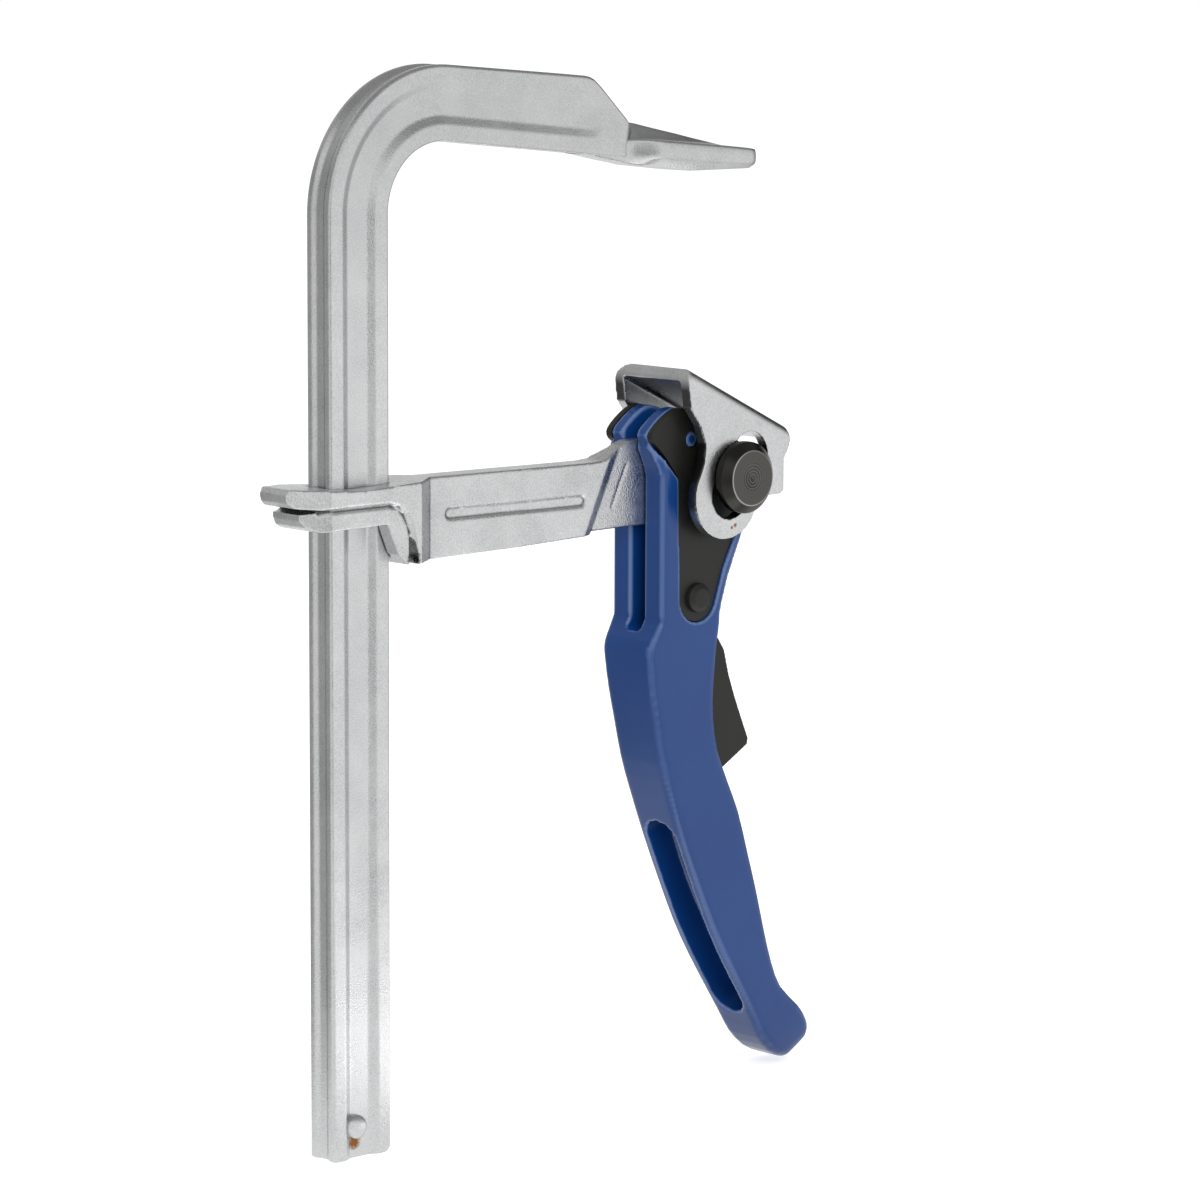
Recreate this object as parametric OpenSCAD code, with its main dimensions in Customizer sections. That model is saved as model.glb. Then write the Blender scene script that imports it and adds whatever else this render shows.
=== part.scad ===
// Quick release bar clamp: a bent steel rail with a fixed jaw, a sliding arm, and a cam lever
// that lifts a swivelling pressure shoe. Millimetres. The origin is the middle of the fixed jaw's
// clamping face, +X runs from the rail towards the jaw's tip and +Z runs up the rail.

/* [Rail] */
// Depth of the rail's section, along the arms
rail_w = 19.5; // [16:0.5:25]
// Thickness of the rail's section
rail_t = 9.5; // [8:0.5:12]
// Clamping face down to the rail's lower end
rail_drop = 249.8; // [220:1:300]
// Rail's front face to the middle of the fixed jaw
throat = 113; // [100:1:140]
// Inner radius of the rail's bend
bend_r = 17.8; // [14:0.1:22]
// Downward slope of the fixed arm
arm_slope = 5.6; // [4:0.2:8]
// Depth of the channel rolled into each broad face
channel_d = 1.4; // [0.6:0.1:1.8]
// Width of that channel at the face
channel_w = 10.4; // [9:0.2:12]
// Width of each of its sloping sides
channel_slope = 1.6; // [0.6:0.1:2]

/* [Fixed jaw] */
// Width of the jaw tongue
jaw_w = 20; // [14:1:26]
// Middle of the clamping face to the tongue's tip
jaw_tip = 14; // [11:1:18]
// Thickness of the tongue at its tip
jaw_t = 4.6; // [3.5:0.1:6]

/* [Stop pin] */
// Diameter of the stop pin
stop_d = 5; // [4:0.5:5.5]
// Height of its middle above the rail's lower end
stop_h = 8.2; // [6:0.2:12]

/* [Sliding arm] */
// Clamping face of the fixed jaw down to the pivot pin
pivot_drop = 81.8; // [70:1:200]
// Rail's front face to the pivot pin
pivot_reach = 114.1; // [100:1:140]
// Clearance between the rail and the arm's head all round
slide_gap = 0.3; // [0.2:0.05:0.5]
// Half the outer width of the head
head_y = 10.5; // [9:0.5:13]
// Thickness of the shank
shank_t = 7.8; // [6.4:0.2:9]
// Thickness of the tongue inside the fork
tongue_t = 4.6; // [4:0.2:5]
// Tip radius of the ratchet teeth
ratchet_r = 18; // [17:0.25:18.5]
// Depth of the ratchet teeth
tooth_d = 1.6; // [1:0.1:2]

/* [Handle] */
// Width of the fork across its cheeks
fork_w = 19.6; // [18.8:0.2:21]
// Clearance on each side of the tongue in the fork
fork_gap = 0.3; // [0.2:0.05:0.5]
// Width of the pocket in the grip's front
pocket_w = 11.6; // [8:0.2:12]
// Depth of that pocket
pocket_d = 8.5; // [5:0.5:9]
// Width of the release lever's trigger
trigger_w = 8; // [6:0.2:9]

/* [Cam plates] */
// Thickness of each cam plate
plate_t = 2; // [1.5:0.1:2.4]
// Fork cheek's face down to the plate's face
plate_recess = 0.8; // [0.4:0.1:1.2]
// Clearance round each plate in its seat
plate_gap = 0.25; // [0.15:0.05:0.4]

/* [Pins] */
// Diameter of the pivot pin
pivot_d = 12; // [10:0.2:12.4]
// Diameter of the pivot pin's head
pivot_head_d = 19.4; // [17:0.2:22]
// Radial running clearance of the pins
pin_fit = 0.05; // [0.02:0.01:0.1]
// Diameter of the cross pin
cross_d = 7.9; // [6:0.1:8.4]

/* [Pressure shoe] */
// Thickness of the shoe's steel
shoe_t = 3.5; // [2.5:0.1:4]
// Clearance between the fork and the shoe's wall on the far side
shoe_gap = 0.3; // [0.2:0.1:1]
// The same on the pin head's side, where all its side play is
shoe_play = 2.3; // [0.3:0.1:3]
// Pivot pin up to the shoe's pressure face
shoe_rise = 19.1; // [18.6:0.1:23]
// Tilt of the shoe, rail side up
shoe_tilt = 26; // [20:1:30]
// Travel of the pivot pin in the shoe's slot
slot_play = 12.4; // [11:0.1:13]

/* [Hidden] */
$fn = 64;
e = 0.01; // overlap that keeps cuts and joins clean

rail_x = -throat - rail_w / 2;          // middle of the rail
pivot_x = pivot_reach - throat;         // pivot pin
pivot_z = -pivot_drop;
function tidy(v) = round(v * 100) / 100;
arm_rail_x = rail_x - pivot_x;          // middle of the rail seen from the pivot pin
jaw_root_x = -40;                       // where the fixed arm starts to turn into the tongue
fork_y = fork_w / 2;
slot_y = tongue_t / 2 + fork_gap;       // half the fork's slot
plate_out = fork_y - plate_recess;      // outer face of a cam plate
plate_in = plate_out - plate_t;
trigger_slot_y = trigger_w / 2 + fork_gap;
cross_at = [-9.6, -32.6];              // cross pin, from the pivot pin
cross_out = fork_y + 1.5;
boss_at = [-11.5, 10.4];                // cast boss that locates each plate
boss_r = 2.3;
shoe_near = -fork_y - shoe_play - shoe_t; // outer faces of the shoe's walls
shoe_far = fork_y + shoe_gap + shoe_t;
shoe_w = shoe_far - shoe_near;
shoe_under = shoe_rise - shoe_t;
slot_r = pivot_d / 2 + 0.5;
slot_lean = 36.9;                       // slot and travel of the shoe, from the vertical
slot_off = 0.2;                         // the pin bears on the slot's lower side
seat_gap = 0.3;                         // flat seats between moving pieces
silver = [0.78, 0.79, 0.8];
blue = [0.13, 0.22, 0.5];
black = [0.15, 0.15, 0.14];

// ---- curves ------------------------------------------------------------------------------

function mix(a, b, t) = a + (b - a) * t;
// Smooth curve through the rows of p (Catmull-Rom), n steps between neighbours
function knot(p, i) = p[max(0, min(len(p) - 1, i))];
function bend_between(p, i, t) = 0.5 * (2 * knot(p, i) + (knot(p, i + 1) - knot(p, i - 1)) * t
  + (2 * knot(p, i - 1) - 5 * knot(p, i) + 4 * knot(p, i + 1) - knot(p, i + 2)) * t * t
  + (3 * knot(p, i) - knot(p, i - 1) - 3 * knot(p, i + 1) + knot(p, i + 2)) * t * t * t);
function smooth(p, n) = [for (i = [0 : len(p) - 2], k = [0 : n - 1]) bend_between(p, i, k / n),
  p[len(p) - 1]];
// Points of an arc, angles in degrees, either way round
function arc(c, r, a0, a1, n) = [for (k = [0 : n]) c + r * [cos(mix(a0, a1, k / n)), sin(mix(a0, a1, k / n))]];
// A closed outline moved outwards by d (its points run anticlockwise)
function unit(v) = v / norm(v);
function grow(p, d) = [for (i = [0 : len(p) - 1])
  let (a = unit(p[i] - p[(i + len(p) - 1) % len(p)]), b = unit(p[(i + 1) % len(p)] - p[i]), t = unit(a + b))
  p[i] + [t[1], -t[0]] * d / max(0.5, t * a)];

// An outline in X and Z made solid from y0 to y1
module side(points, y0, y1) {
  translate([0, y1, 0]) rotate([90, 0, 0]) linear_extrude(y1 - y0) polygon(points);
}
// A round bar along Y at a point of X and Z
module cross_bar(at, r, y0, y1) {
  translate([at[0], y1, at[1]]) rotate([90, 0, 0]) cylinder(r = r, h = y1 - y0);
}
// A skin over rings of equal point count, closed at both ends
module skin(rings) {
  n = len(rings[0]);
  m = len(rings);
  polyhedron(points = [for (r = rings) each r], faces = concat(
    [[for (k = [n - 1 : -1 : 0]) k]],
    [for (i = [0 : m - 2], k = [0 : n - 1]) [i * n + k, i * n + (k + 1) % n, (i + 1) * n + (k + 1) % n]],
    [for (i = [0 : m - 2], k = [0 : n - 1]) [i * n + k, (i + 1) * n + (k + 1) % n, (i + 1) * n + k]],
    [[for (k = [0 : n - 1]) (m - 1) * n + k]]));
}
module at_pivot() { translate([pivot_x, 0, pivot_z]) children(); }

// ---- rail ----------------------------------------------------------------------------------

// One quarter of the rail's section: groove in the narrow face, corner, channel in the broad face
groove_w = rail_t * 0.5;
groove_d = 0.6;
corner = 0.7;
floor_w = channel_w / 2 - channel_slope; // half the channel's floor
quarter = [[rail_w / 2 - groove_d, groove_w / 2 - groove_d], [rail_w / 2, groove_w / 2 + groove_d / 2],
  [rail_w / 2, rail_t / 2 - corner], [rail_w / 2 - corner, rail_t / 2],
  [channel_w / 2, rail_t / 2], [floor_w, rail_t / 2 - channel_d]];
function turned(p) = [for (i = [len(p) - 1 : -1 : 0]) p[i]];
section = concat(quarter, [for (p = turned(quarter)) [-p[0], p[1]]], [for (p = quarter) [-p[0], -p[1]]],
  [for (p = turned(quarter)) [p[0], -p[1]]]);
plain_section = [[rail_w / 2, -rail_t / 2], [rail_w / 2, rail_t / 2], [-rail_w / 2, rail_t / 2],
  [-rail_w / 2, -rail_t / 2]];

bend_turn = 90 + arm_slope;
bend_mid = bend_r + rail_w / 2;          // radius of the rail's middle line
// The fixed arm's underside passes this far over the clamping face at the jaw's root
root_rise = 5.1;
arm_len = (throat + jaw_root_x - bend_r - bend_r * sin(arm_slope)) / cos(arm_slope);
bend_z = tidy(root_rise + arm_len * sin(arm_slope) - bend_r * cos(arm_slope));
bend_x = -throat + bend_r;

module rail_straight() {
  translate([rail_x, 0, -rail_drop]) linear_extrude(rail_drop + bend_z) polygon(section);
}
module rail_bend() {
  translate([bend_x, 0, bend_z]) rotate([90, 0, 0]) mirror([1, 0, 0])
    rotate_extrude(angle = bend_turn, $fn = 96) translate([bend_mid, 0]) polygon(section);
}
// The forged arm is a hair larger than the rolled rail, and its shoulder than the arm
forge = 0.03;
module rail_arm() {
  translate([bend_x, 0, bend_z]) rotate([0, arm_slope, 0]) translate([-0.5, 0, bend_mid])
    rotate([0, 90, 0]) linear_extrude(arm_len - 10) polygon(grow(section, forge));
}
// The arm's end without its channel, cut off by a slope with a rounded shoulder
function under(x) = root_rise + (jaw_root_x - x) * tan(arm_slope) - 2 * forge;
function over(x) = under(x) + (rail_w + 4 * forge) / cos(arm_slope);
arm_swell = 0.019;                       // and its top rises this much more per length
function crest(x) = over(x) + arm_swell * (x - bend_x);
shoulder_x = jaw_root_x - 12;
arm_end = concat([[shoulder_x, under(shoulder_x)], [jaw_root_x, root_rise], [-26, 3], [-24.5, 9], [-29.4, 13.2]],
  arc([-46.3, 17.9], 8.2, 40, 84, 6), [[shoulder_x, crest(shoulder_x)]]);
crest_x = bend_x + 6;
module arm_crest() {
  side([[crest_x, crest(crest_x) - 3], [shoulder_x + 1, crest(shoulder_x) - 3],
    [shoulder_x + 1, crest(shoulder_x + 1) - forge], [crest_x, crest(crest_x) - 8 * forge]],
    corner - rail_t / 2, rail_t / 2 - corner);
}
cut_d = channel_d + 4 * forge;
cut_w = floor_w + cut_d * channel_slope / channel_d;
channel_cut = [[-cut_w, cut_d], [-floor_w, 0], [floor_w, 0], [cut_w, cut_d]];
module channel_end() { cylinder(r1 = floor_w, r2 = cut_w, h = cut_d); }
module arm_shoulder() {
  difference() {
    side(arm_end, -rail_t / 2 - 2 * forge, rail_t / 2 + 2 * forge);
    translate([shoulder_x, 0, (under(shoulder_x) + over(shoulder_x)) / 2]) rotate([0, arm_slope, 0])
      for (s = [-1, 1]) translate([0, s * (rail_t / 2 - channel_d), 0]) rotate([-90 * s, 0, 0]) {
        translate([7.5, 0, 0]) channel_end();
        translate([-3, 0, 0]) rotate([90, 0, 90]) linear_extrude(10.5) polygon(channel_cut);
      }
  }
}
// The forged tongue: flat pad under the middle, sides drawn up a little, round corners
tongue_side = [[jaw_root_x - 2, 5.3], [-30, 4], [-24.7, 2.5], [-20, 1.6], [-12.5, 0.5], [-8, 0], [jaw_tip, 0], [jaw_tip, jaw_t - 1.2],
  [jaw_tip - 1, jaw_t + 0.3], [jaw_tip - 4.5, jaw_t + 1.2], [-9, 8], [-22, 9.2], [jaw_root_x - 2, 9.8]];
jaw_y = jaw_w / 2;
jaw_corner = 4;
tongue_plan = concat([[jaw_root_x - 2, -rail_t / 2 + 0.3], [-35, -jaw_y]],
  arc([jaw_tip - jaw_corner, -jaw_y + jaw_corner], jaw_corner, -90, 0, 6),
  arc([jaw_tip - jaw_corner, jaw_y - jaw_corner], jaw_corner, 0, 90, 6),
  [[-35, jaw_y], [jaw_root_x - 2, rail_t / 2 - 0.3]]);
jaw_pad = jaw_y - 4.6;
module tongue() {
  difference() {
    intersection() {
      side(tongue_side, -jaw_y, jaw_y);
      translate([0, 0, -1]) linear_extrude(14) polygon(tongue_plan);
    }
    for (s = [-1, 1]) translate([jaw_root_x - 5, 0, 0]) rotate([90, 0, 90]) linear_extrude(70)
      polygon([[s * jaw_pad, 0], [s * (jaw_y + 1), 1.9], [s * (jaw_y + 1), -1], [s * jaw_pad, -1]]);
  }
}
// The arm runs out over the tongue as a low spine
module spine() {
  hull() {
    for (s = [-1, 1]) {
      translate([-32, s * 3.6, 8]) cube(1, center = true);
      translate([-26, s * 1.6, 13.3]) cube(0.6, center = true);
      translate([7, s * 1.2, 6.5]) cube(0.6, center = true);
      translate([-24, s * 4.2, 8.6]) cube(0.6, center = true);
    }
  }
}
end_l = 0.7;                             // rounding of the rail's lower corners, left and right
end_r = 2;
module foot_corner(s, r) {
  translate([rail_x + s * (rail_w / 2 - r), 0, -rail_drop + r]) difference() {
    translate([s * (r + 1) / 2, 0, -(r + 1) / 2]) cube([r + 1, rail_t + 1, r + 1], center = true);
    cross_bar([0, 0], r, -rail_t, rail_t);
  }
}
stop_x = rail_x - 1.7;
stop_z = -rail_drop + stop_h;
dome_r = stop_d / 2 + 0.75;
module rail() {
  color(silver) difference() {
    union() { rail_straight(); rail_bend(); rail_arm(); arm_crest(); arm_shoulder(); tongue(); spine(); }
    foot_corner(-1, end_l);
    foot_corner(1, end_r);
    cross_bar([stop_x, stop_z], stop_d / 2, -rail_t, rail_t);
    // spot face round each end of the stop pin
    for (s = [-1, 1]) cross_bar([stop_x, stop_z], dome_r + 0.05, s > 0 ? rail_t / 2 - channel_d : -rail_t,
      s > 0 ? rail_t : -rail_t / 2 + channel_d);
  }
}
// The stop pin is pressed through the rail and its two ends are peened to domes
module rail_stop_pin() {
  color(silver) {
    cross_bar([stop_x, stop_z], stop_d / 2, -rail_t / 2 + channel_d - e, rail_t / 2 - channel_d + e);
    for (s = [-1, 1]) translate([stop_x, s * (rail_t / 2 - channel_d), stop_z]) rotate([-90 * s, 0, 0])
      rotate_extrude() intersection() {
        translate([0, -1]) circle(r = dome_r + 0.5);
        square([dome_r, 4]);
      }
  }
}

// ---- sliding arm (all places from the pivot pin) ------------------------------------------

hole_w = rail_w / 2 + slide_gap;         // half the head's opening
hole_t = rail_t / 2 + slide_gap;
head_front = arm_rail_x + hole_w + 5.6;  // where the head starts to narrow to the shank
upper_tip = arm_rail_x - rail_w / 2 - 15;
lower_tip = arm_rail_x - rail_w / 2 - 10.7;
tip_y = head_y * 0.5;
shank_x = head_front + 8.2;
shank_top = 6.1;
head_top = 6.6;
shank_low = -14.7;
head_plan = [[upper_tip, -tip_y], [arm_rail_x - 13.9, -head_y], [head_front, -head_y],
  [shank_x, -shank_t / 2], [shank_x, shank_t / 2], [head_front, head_y], [arm_rail_x - 13.9, head_y],
  [upper_tip, tip_y]];
// Side views: the upper band runs on into the cheek in front of the rail, the lower band is shorter
upper_band = [[upper_tip + 0.5, 3.8], [upper_tip + 2.4, 2.3], [arm_rail_x - 14, 1.5], [arm_rail_x + 6, 1.5],
  [arm_rail_x + 10.4, -1.2], [arm_rail_x + 12.6, -6], [arm_rail_x + 13, -14.4], [shank_x, shank_low],
  [shank_x, head_top], [head_front, head_top], [arm_rail_x - 3, 5.8], [upper_tip + 1.2, 7.2],
  [upper_tip, 5.6]];
lower_band = [[lower_tip, -0.8], [lower_tip + 1.6, -2.8], [lower_tip + 5, -4.2], [arm_rail_x - 13, -3.8], [arm_rail_x + 5, -3.5],
  [arm_rail_x + 8.4, -11.4], [arm_rail_x + 11.6, -14.4], [arm_rail_x + 13.2, -14.4],
  [arm_rail_x + 12.8, -6], [arm_rail_x + 10.2, -0.9], [arm_rail_x + 6, 1.2],
  [arm_rail_x - 14, 1.4], [lower_tip, 0.6]];
lower_y = head_y - 0.7;
lower_plan = [[lower_tip, -tip_y], [arm_rail_x - 13.2, -lower_y], [head_front, -lower_y],
  [head_front, lower_y], [arm_rail_x - 13.2, lower_y], [lower_tip, tip_y]];
notch = [[arm_rail_x + 12, -16], [arm_rail_x + 14.4, -16], [arm_rail_x + 14.6, -12],
  [arm_rail_x + 13.7, -8.5], [arm_rail_x + 12.3, -6.5]];
module head() {
  difference() {
    union() {
      intersection() {
        side(upper_band, -head_y, head_y);
        translate([0, 0, -20]) linear_extrude(40) polygon(head_plan);
      }
      intersection() {
        side(lower_band, -lower_y, lower_y);
        translate([0, 0, -20]) linear_extrude(40) polygon(lower_plan);
      }
      // web between the two bands, set back from both
      translate([arm_rail_x - 13.5, -head_y + 1.6, 0.4]) cube([20, 2 * head_y - 3.2, 1.6]);
    }
    translate([arm_rail_x - hole_w, -hole_t, -20]) cube([2 * hole_w, 2 * hole_t, 40]);
    // notch between the lower band's lug and the cheek
    for (s = [-1, 1]) side(notch, s > 0 ? 6 : -20, s > 0 ? 20 : -6);
  }
}
// Shank, with the hump over its free end; it ends on a slope where the thin tongue begins
shank_side = [[shank_x - e, shank_low], [-67, -14.2], [-42.6, -13.4], [-31.6, 9.4], [-33.4, 8.5],
  [-36.3, 7.2], [-38.6, 6.3], [-43, shank_top - 0.1], [-55, shank_top], [shank_x - e, head_top]];
// The shank's sides slope down to the tongue along its end, and a short groove runs beside that slope
slope_low = [-42.6, -13.4];
slope_top = [-31.6, 10.3];
slope_a = atan2(slope_top[0] - slope_low[0], slope_top[1] - slope_low[1]);
slope_w = 3.2;
module end_slopes() {
  translate([slope_low[0], 0, slope_low[1]]) rotate([0, slope_a, 0]) translate([0, 0, -6])
    linear_extrude(norm(slope_top - slope_low) + 12) for (s = [-1, 1])
      polygon([[-slope_w, s * (shank_t / 2 + e)], [e, s * (tongue_t / 2)], [3, s * tongue_t / 2],
        [3, s * (shank_t / 2 + 1)], [-slope_w, s * (shank_t / 2 + 1)]]);
}
rib_from = [-34.9, -7];
rib_to = [-29.4, 4.6];
module rib_groove() {
  for (s = [-1, 1]) side([rib_from + [-0.4, 0.2], rib_from + [0.4, -0.2], rib_to + [0.4, -0.2], rib_to + [-0.4, 0.2]],
    s > 0 ? tongue_t / 2 - 0.4 : -5, s > 0 ? 5 : -tongue_t / 2 + 0.4);
}
groove_x = [shank_x + 7, -47];           // ends of the sunk bead on each side
groove_z = [-3.4, -3.9];
bead_r = 1.6;
bead_d = 0.8;
// Tongue: bar between the cheeks, eye round the pivot pin, ratchet teeth below
eye_r = 10.5;
tooth_step = 5;
tooth_from = -145;
tooth_count = 17;
tongue_bar = [[-43.2, -12.6], [-12, -12.2], [-4, -5], [-4, 5], [-8, 10.4], [-20, 10.8], [-28.3, 10.6], [-31.6, 9.5]];
function tooth(a) = [(ratchet_r - tooth_d) * [cos(a), sin(a)],
  ratchet_r * [cos(a + tooth_step * 0.85), sin(a + tooth_step * 0.85)]];
ratchet = concat([[-6, 2], [-15, -9]], [for (k = [0 : tooth_count - 1]) each tooth(tooth_from + k * tooth_step)],
  [[6, -4]]);
module arm_solid() {
  head();
  side(shank_side, -shank_t / 2, shank_t / 2);
  side(tongue_bar, -tongue_t / 2, tongue_t / 2);
  side(ratchet, -tongue_t / 2, tongue_t / 2);
  cross_bar([0, 0], eye_r, -tongue_t / 2, tongue_t / 2);
}
module sliding_arm() {
  color(silver) at_pivot() difference() {
    arm_solid();
    cross_bar([0, 0], pivot_d / 2 + pin_fit, -shank_t, shank_t);
    end_slopes();
    rib_groove();
    for (s = [-1, 1]) {
      // sunk bead along the shank's side
      for (k = [0, 1]) cross_bar([groove_x[k], groove_z[k]], bead_r,
        s > 0 ? shank_t / 2 - bead_d : -shank_t, s > 0 ? shank_t : -shank_t / 2 + bead_d);
      side([[groove_x[0], groove_z[0] - bead_r], [groove_x[1], groove_z[1] - bead_r],
        [groove_x[1], groove_z[1] + bead_r], [groove_x[0], groove_z[0] + bead_r]],
        s > 0 ? shank_t / 2 - bead_d : -shank_t, s > 0 ? shank_t : -shank_t / 2 + bead_d);
    }
  }
}

// ---- handle (all places from the pivot pin) ------------------------------------------------

nose = [[-16.9, 0.6], [-20.8, 5.6], [-24.3, 9.2], [-25.8, 10.4], [-26.4, 12.2], [-25, 14.2],
  [-21.4, 17], [-17.3, 18.9], [-13.5, 18.6], [-9.5, 16.9], [-5, 14.6], [-1, 12.8]];
ring_r = 10.4;                           // metal round the pivot bore at the cam's low side
// Cam plate, anticlockwise from its foot
plate_foot = 6.5;
plate_outline = concat(arc(cross_at, plate_foot, 180, 335, 12), [[-0.2, -25.2], [3.4, -17.9], [7.4, -9]],
  arc([0, 0], ring_r, -30, 75, 10), turned(smooth(nose, 2)));
// Fork in side view: the same crown, then the front and the back edge down to the grip
fork_outline = concat([[-23.2, -44], [-2, -44], [-1, -36], [1.5, -28], [6.9, -16.1], [9.6, -8]],
  arc([0, 0], ring_r, -20, 75, 8), turned(smooth([for (i = [3 : len(nose) - 1]) nose[i]], 2)),
  [[-26.2, 9], [-23.6, 3], [-23.2, 1]]);
// Grip stations: front X, front Z, back X, back Z, half width, corner radius
stations = [
  [-23.3, -38, -1.2, -38, 9.8, 1], [-25.2, -41.4, -1.3, -42, 9.8, 1.4], [-27.2, -45, -1.6, -46.5, 9.7, 1.8],
  [-27.2, -49, -1.9, -51, 9.6, 1.9], [-26.1, -57, -2.2, -58, 9.4, 2], [-24.2, -66, -2, -66, 9.2, 2],
  [-21.7, -77, -0.1, -75.5, 9, 2], [-18.4, -87, 4.1, -84.5, 8.7, 2], [-13.5, -100, 8.5, -93.5, 8.5, 2],
  [-7.8, -113, 12.3, -105.5, 8.5, 2], [-2.2, -125, 15.7, -116.5, 8.5, 2], [3.4, -135, 18.8, -127.5, 8.4, 2],
  [9.6, -144.8, 22.1, -137.5, 8.2, 2], [15, -153.3, 26, -145.2, 8, 2], [18.7, -159.3, 33.4, -151.9, 7.8, 2.2],
  [23.2, -163.9, 37.3, -156.6, 7.3, 2.4], [28.2, -166.3, 38.1, -160.5, 6.2, 2.2], [32.4, -166.8, 36.2, -164.6, 2.8, 1.2]];
// Ring of a station: a rounded rectangle across the line from its front to its back point
function station_ring(s) = let (f = [s[0], s[1]], b = [s[2], s[3]], d = norm(b - f), u = unit(b - f),
    corners = [[d - s[5], s[4] - s[5], 0], [s[5], s[4] - s[5], 90], [s[5], s[5] - s[4], 180], [d - s[5], s[5] - s[4], 270]])
  [for (c = corners, k = [0 : 3]) let (a = c[2] + k * 30, p = [c[0], c[1]] + s[5] * [cos(a), sin(a)])
    [f[0] + u[0] * p[0], p[1], f[1] + u[1] * p[0]]];
module grip() { skin([for (s = smooth(stations, 2)) station_ring(s)]); }

fork_chamfer = 1;
module fork() {
  intersection() {
    side(fork_outline, -fork_y, fork_y);
    // the front edges are broken
    translate([0, 0, -50]) linear_extrude(80) polygon([[-30, -fork_y + 3.8], [-23.2 + fork_chamfer, -fork_y],
      [20, -fork_y], [20, fork_y], [-23.2 + fork_chamfer, fork_y], [-30, fork_y - 3.8]]);
  }
}
plate_seat = grow(plate_outline, plate_gap);
// Pocket in the grip's front: a slot with round ends, square to the grip's face
pocket_path = smooth([[-12.9, -99.7], [-8.6, -111], [-3.1, -122.5], [2.8, -133], [8, -142], [11, -147]], 2);
pocket_out = [-0.9, -0.43] * 6;
module pocket() {
  r = pocket_w / 2;
  side(concat([for (p = pocket_path) p + pocket_out], [for (p = turned(pocket_path)) p - pocket_out / 6 * pocket_d]), -r, r);
  for (p = [pocket_path[0], pocket_path[len(pocket_path) - 1]])
    translate([p[0] + pocket_out[0], 0, p[1] + pocket_out[1]]) rotate([0, 90 - 25.5, 0])
      cylinder(r = r, h = 6 + pocket_d);
}
// Space for the release lever, open at the back
bay_floor = -14;
lever_bay = [[-12.5, -40], [20, -30], [20, -76], [14, -83], [4, -90], [-6, -88.5], [-13.4, -73],
  [bay_floor, -66], [bay_floor, -52]];
module handle() {
  color(blue) at_pivot() difference() {
    union() {
      difference() {
        union() { fork(); grip(); }
        for (s = [-1, 1]) {
          // seat of the plate, and everything above the cheek's outer layer
          side(plate_seat, s > 0 ? plate_in - e : -fork_y - 1, s > 0 ? fork_y + 1 : -plate_in + e);
          side([[-40, 9.6], [-25.6, 9.6], [-10, -8], [10.5, -8], [40, 9.6], [40, 40], [-40, 40]],
            s > 0 ? plate_in - e : -fork_y - 1, s > 0 ? fork_y + 1 : -plate_in + e);
        }
      }
      // low bosses that locate the plates
      cross_bar(boss_at, boss_r, -plate_out + 0.2, plate_out - 0.2);
    }
    // slot for the arm's tongue, and the bay for the release lever
    side([[-40, -41], [40, -41], [40, 40], [-40, 40]], -slot_y, slot_y);
    side(lever_bay, -trigger_slot_y, trigger_slot_y);
    pocket();
    cross_bar([0, 0], pivot_d / 2 + pin_fit, -fork_y - 1, fork_y + 1);
    cross_bar(cross_at, cross_d / 2 + pin_fit, -fork_y - 1, fork_y + 1);
  }
}
module cam_plate(s) {
  y0 = s > 0 ? plate_in : -plate_out;
  color(black) at_pivot() difference() {
    side(plate_outline, y0, y0 + plate_t);
    cross_bar([0, 0], pivot_d / 2 + pin_fit, y0 - 1, y0 + plate_t + 1);
    cross_bar(cross_at, cross_d / 2 + pin_fit, y0 - 1, y0 + plate_t + 1);
    cross_bar(boss_at, boss_r + 0.1, y0 - 1, y0 + plate_t + 1);
  }
}
module cam_plate_near() { cam_plate(-1); }
module cam_plate_far() { cam_plate(1); }
module cross_pin() {
  r = cross_d / 2;
  color(black) at_pivot() translate([cross_at[0], cross_out, cross_at[1]]) rotate([90, 0, 0])
    rotate_extrude() polygon([[0, 0], [r - 0.8, 0], [r, 0.6], [r, 2 * cross_out - 0.6],
      [r - 0.8, 2 * cross_out], [0, 2 * cross_out]]);
}

// Release lever: hub on the cross pin, pawl tooth above it, trigger below
hub_r = cross_d / 2 + 3;
pawl_gap = 0.35;
pawl_a = -82;
pawl_r = ratchet_r + pawl_gap;
pawl_tip = pawl_r * [cos(pawl_a), sin(pawl_a)];
pawl_arm = [cross_at + [-4, -5], cross_at + [5.5, -3], pawl_tip + [2.8, -3.4], pawl_tip + [1.6, -0.2], pawl_tip,
  pawl_tip + [-1.9, -1.9], cross_at + [-2, 6]];
trigger = [[-13, -37], [-7, -44], [-5, -70], [2.5, -83.3], [4.5, -82.3], [15, -76.3], [15.4, -74.6],
  [13.6, -70.5], [10.2, -62.5], [7.8, -56], [6, -49], [3, -44.6], [-3, -38], [-6, -34]];
neck_z = -41.4;                          // the trigger is as thin as the pawl above this

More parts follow.
